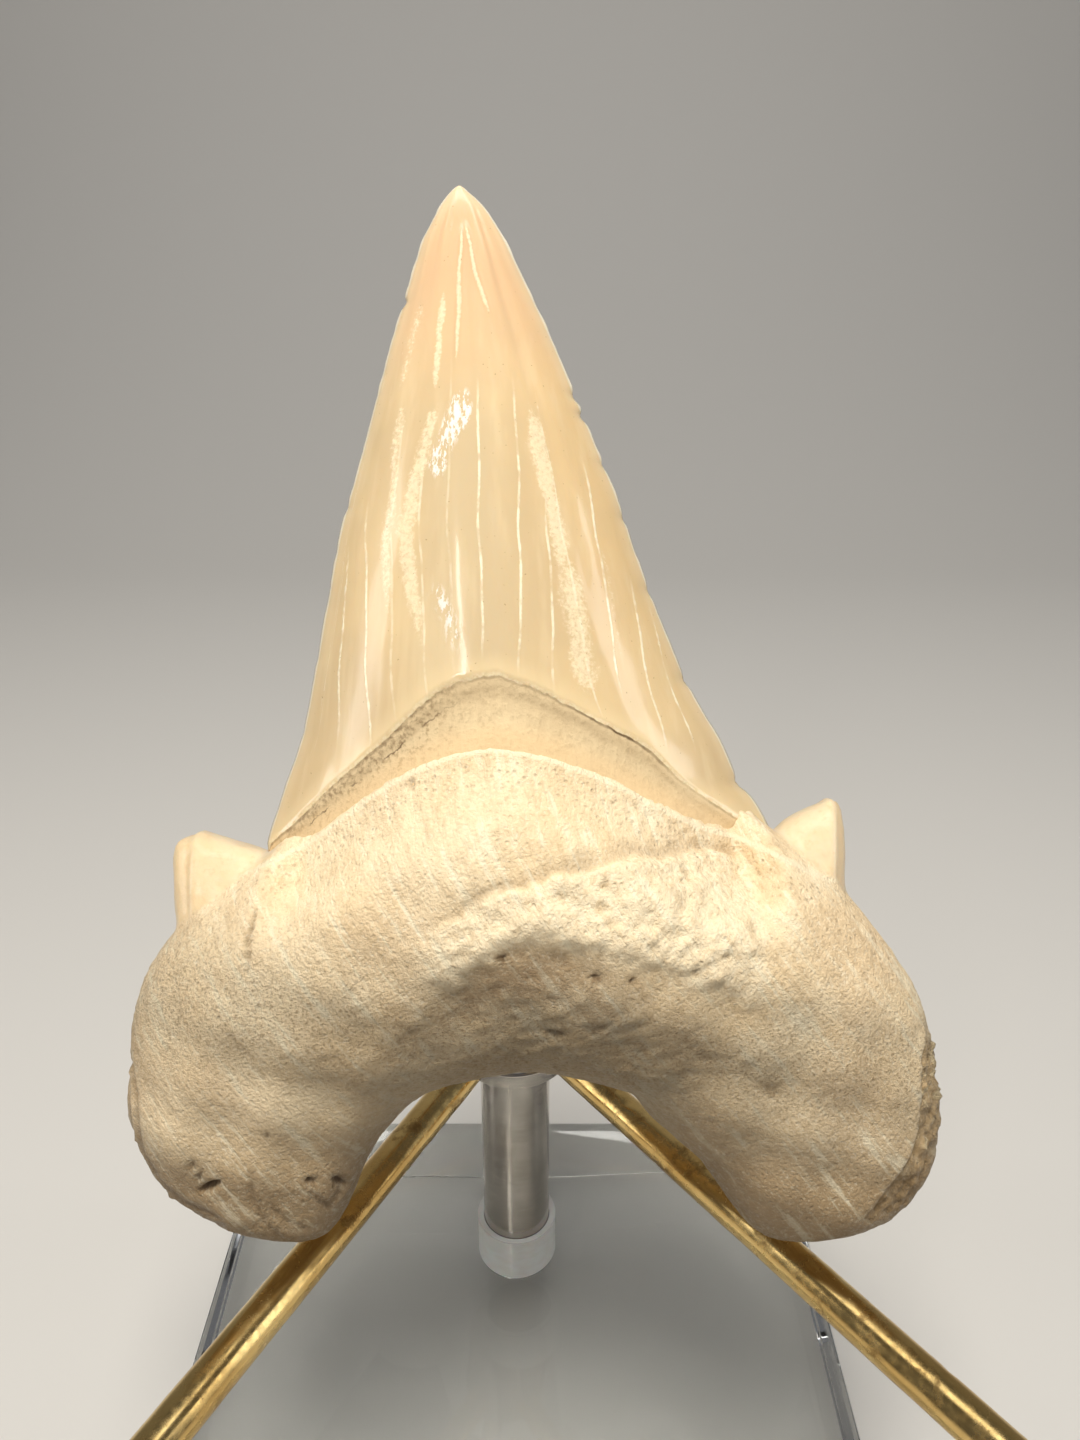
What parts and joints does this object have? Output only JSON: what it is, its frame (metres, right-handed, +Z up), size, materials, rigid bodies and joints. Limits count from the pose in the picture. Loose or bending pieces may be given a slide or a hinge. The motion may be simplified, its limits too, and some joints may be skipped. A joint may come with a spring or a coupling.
{
  "type": "fossil shark tooth on a display stand",
  "caption": "Fossil shark tooth with broken side cusplets, leaning back on the brass arms of a steel post set in a clear acrylic block.",
  "frame": {"origin": "middle of the clear block's underside, where the stand rests on a surface", "axes": "+Z up, -Y towards the viewer of the tooth's display face, +X to the viewer's right"},
  "size_m": [0.0767, 0.0747, 0.1337],
  "materials": {
    "fossil": "satin",
    "clear_block": "gloss",
    "milky_sleeve": "satin",
    "polished_steel": "polished",
    "brass_rod": "polished"
  },
  "bodies": {
    "root": {"tooth": "fossil", "base_block": "clear_block", "post_sleeve": "milky_sleeve", "post": "polished_steel", "hub": "polished_steel", "left_arm": "brass_rod", "right_arm": "brass_rod", "back_arm": "brass_rod"}
  },
  "joints": []
}
